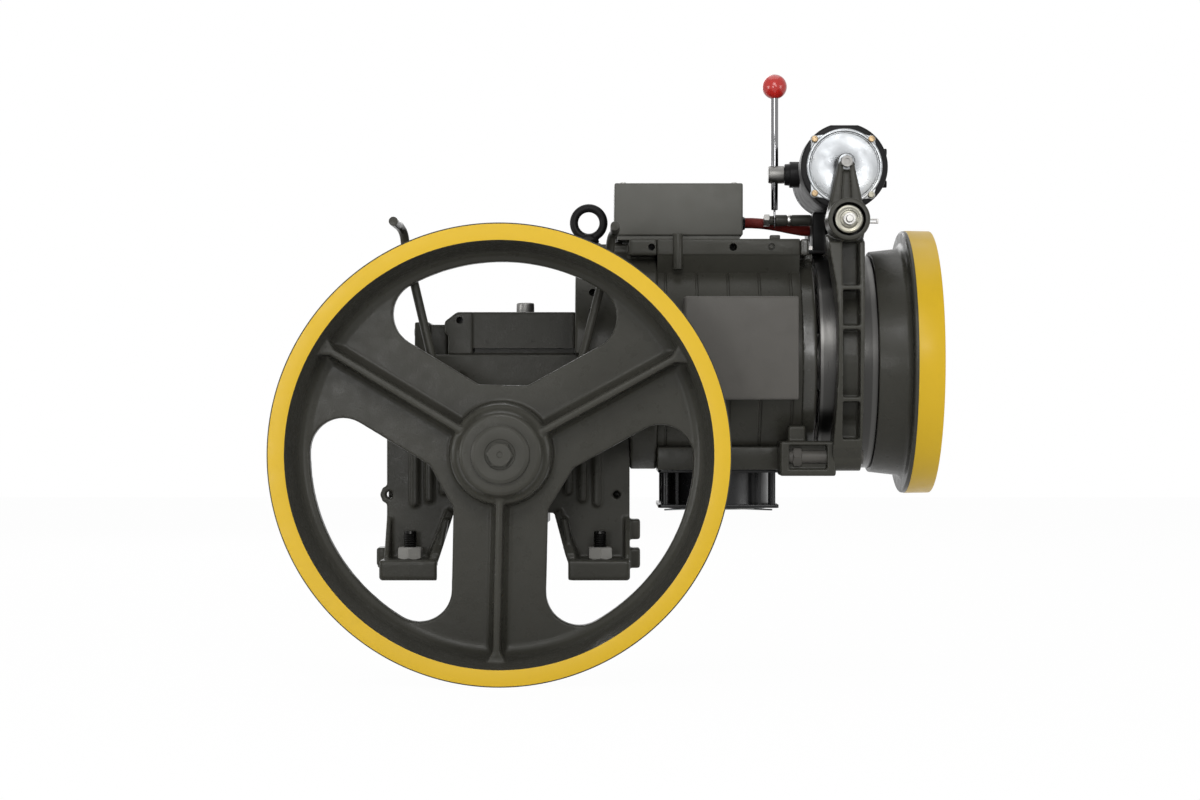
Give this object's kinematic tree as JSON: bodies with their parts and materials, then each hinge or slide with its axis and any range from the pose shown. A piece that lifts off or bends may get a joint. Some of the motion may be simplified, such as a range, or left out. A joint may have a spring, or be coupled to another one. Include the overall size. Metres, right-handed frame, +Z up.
{
  "type": "elevator traction machine",
  "caption": "Geared lift traction machine: worm gearbox, spoked grooved rope sheave, flange motor with cooling fan, magnet drum brake with hand release, and yellow-banded flywheel.",
  "frame": {"origin": "centre of the bed on the undersides of the four foot pads, under the crossing of worm shaft and sheave shaft", "axes": "+X along the worm and motor shaft towards the flywheel, +Y away from the sheave towards the rear of the gearbox, +Z up"},
  "size_m": [0.896, 0.535, 0.8335],
  "materials": {
    "casting_paint": "semi-gloss warm dark grey paint on rough castings",
    "sheave_iron": "semi-gloss warm dark grey paint; the front face of the rim is painted yellow",
    "flywheel_paint": "yellow paint on the band, grey paint and turned iron elsewhere",
    "box_paint": "smooth grey paint on folded sheet",
    "machined_steel": "turned steel",
    "zinc_plate": "bright zinc",
    "chrome_rod": "polished",
    "black_enamel": "black gloss enamel",
    "black_plastic": "black moulded plastic",
    "bronze": "cut bronze",
    "copper_winding": "varnished copper winding and core",
    "red_plastic": "glossy red ball",
    "red_sleeve": "dark red silicone sleeve",
    "friction_lining": "moulded friction material"
  },
  "bodies": {
    "machine": {"gearbox_housing": "casting_paint", "upper_casing": "casting_paint", "output_front_cover": "casting_paint", "output_rear_cover": "casting_paint", "worm_end_cover": "casting_paint", "motor_adapter": "casting_paint", "eye_bolt": "casting_paint", "motor_frame": "casting_paint", "motor_end_shield": "casting_paint", "front_junction_cover": "casting_paint", "front_pivot_bracket": "casting_paint", "rear_pivot_bracket": "casting_paint", "terminal_box": "box_paint", "terminal_box_lid": "box_paint", "output_front_bearing": "machined_steel", "output_rear_bearing": "machined_steel", "worm_end_bearing": "machined_steel", "worm_drive_bearing": "machined_steel", "motor_end_bearing": "machined_steel", "front_pivot_pin": "machined_steel", "rear_pivot_pin": "machined_steel", "spring_stud": "machined_steel", "front_spring": "machined_steel", "rear_spring": "machined_steel", "filler_plug": "machined_steel", "fan_guard": "machined_steel", "magnet_front_plate": "zinc_plate", "magnet_rear_plate": "zinc_plate", "front_spring_disc": "zinc_plate", "rear_spring_disc": "zinc_plate", "lever_stop_pin": "zinc_plate", "magnet_housing": "black_enamel", "magnet_bracket": "black_enamel", "left_rope_guard": "black_enamel", "right_rope_guard": "black_enamel", "fan_housing": "black_plastic", "stator_core": "copper_winding", "magnet_coil": "copper_winding", "brake_cable": "red_sleeve"},
    "rotor": {"worm_shaft": "machined_steel", "motor_rotor": "machined_steel", "brake_drum": "machined_steel", "flywheel": "flywheel_paint", "shaft_nut": "machined_steel"},
    "sheave": {"sheave": "sheave_iron", "sheave_end_disc": "sheave_iron", "sheave_end_bolt": "sheave_iron", "output_shaft": "machined_steel", "worm_wheel_rim": "bronze", "worm_wheel_hub": "sheave_iron"},
    "fan": {"fan_rotor": "black_plastic"},
    "lever": {"release_lever": "chrome_rod", "lever_knob": "red_plastic", "release_shaft": "machined_steel"},
    "front_armature": {"front_plunger": "machined_steel"},
    "rear_armature": {"rear_plunger": "machined_steel"},
    "front_arm": {"front_brake_arm": "casting_paint", "front_brake_lining": "friction_lining"},
    "rear_arm": {"rear_brake_arm": "casting_paint", "rear_brake_lining": "friction_lining"}
  },
  "joints": [
    {"name": "rotor_spin", "type": "hinge", "parent": "machine", "child": "rotor", "pos_m": [0, 0, 0.3], "axis": [1, 0, 0], "continuous": true},
    {"name": "sheave_spin", "type": "hinge", "parent": "machine", "child": "sheave", "pos_m": [0, 0, 0.175], "axis": [0, 1, 0], "continuous": true},
    {"name": "fan_spin", "type": "hinge", "parent": "machine", "child": "fan", "pos_m": [0.295, 0, 0.1], "axis": [0, 0, 1], "continuous": true},
    {"name": "release_lever_swing", "type": "hinge", "parent": "machine", "child": "lever", "pos_m": [0.378, 0, 0.566], "axis": [-1, 0, 0], "range_deg": [0, 25], "stiffness_Nm_per_rad": 20, "springref_deg": -5.73},
    {"name": "front_armature_slide", "type": "slide", "parent": "machine", "child": "front_armature", "axis": [0, -1, 0], "range_m": [0, 0.004]},
    {"name": "rear_armature_slide", "type": "slide", "parent": "machine", "child": "rear_armature", "axis": [0, 1, 0], "range_m": [0, 0.004]},
    {"name": "front_arm_swing", "type": "hinge", "parent": "machine", "child": "front_arm", "pos_m": [0.469, -0.15, 0.1685], "axis": [1, 0, 0], "range_deg": [0, 0.58], "deforming": ["front_spring"]},
    {"name": "rear_arm_swing", "type": "hinge", "parent": "machine", "child": "rear_arm", "pos_m": [0.469, 0.15, 0.1685], "axis": [-1, 0, 0], "range_deg": [0, 0.58], "deforming": ["rear_spring"]}
  ],
  "couplings": [
    {"joint": "sheave_spin", "follows": "rotor_spin", "ratio": -0.025},
    {"joint": "front_armature_slide", "follows": "release_lever_swing", "m_per_rad": 0.009166},
    {"joint": "rear_armature_slide", "follows": "release_lever_swing", "m_per_rad": 0.009166},
    {"joint": "front_arm_swing", "follows": "release_lever_swing", "ratio": 0.02306},
    {"joint": "rear_arm_swing", "follows": "release_lever_swing", "ratio": 0.02306}
  ]
}
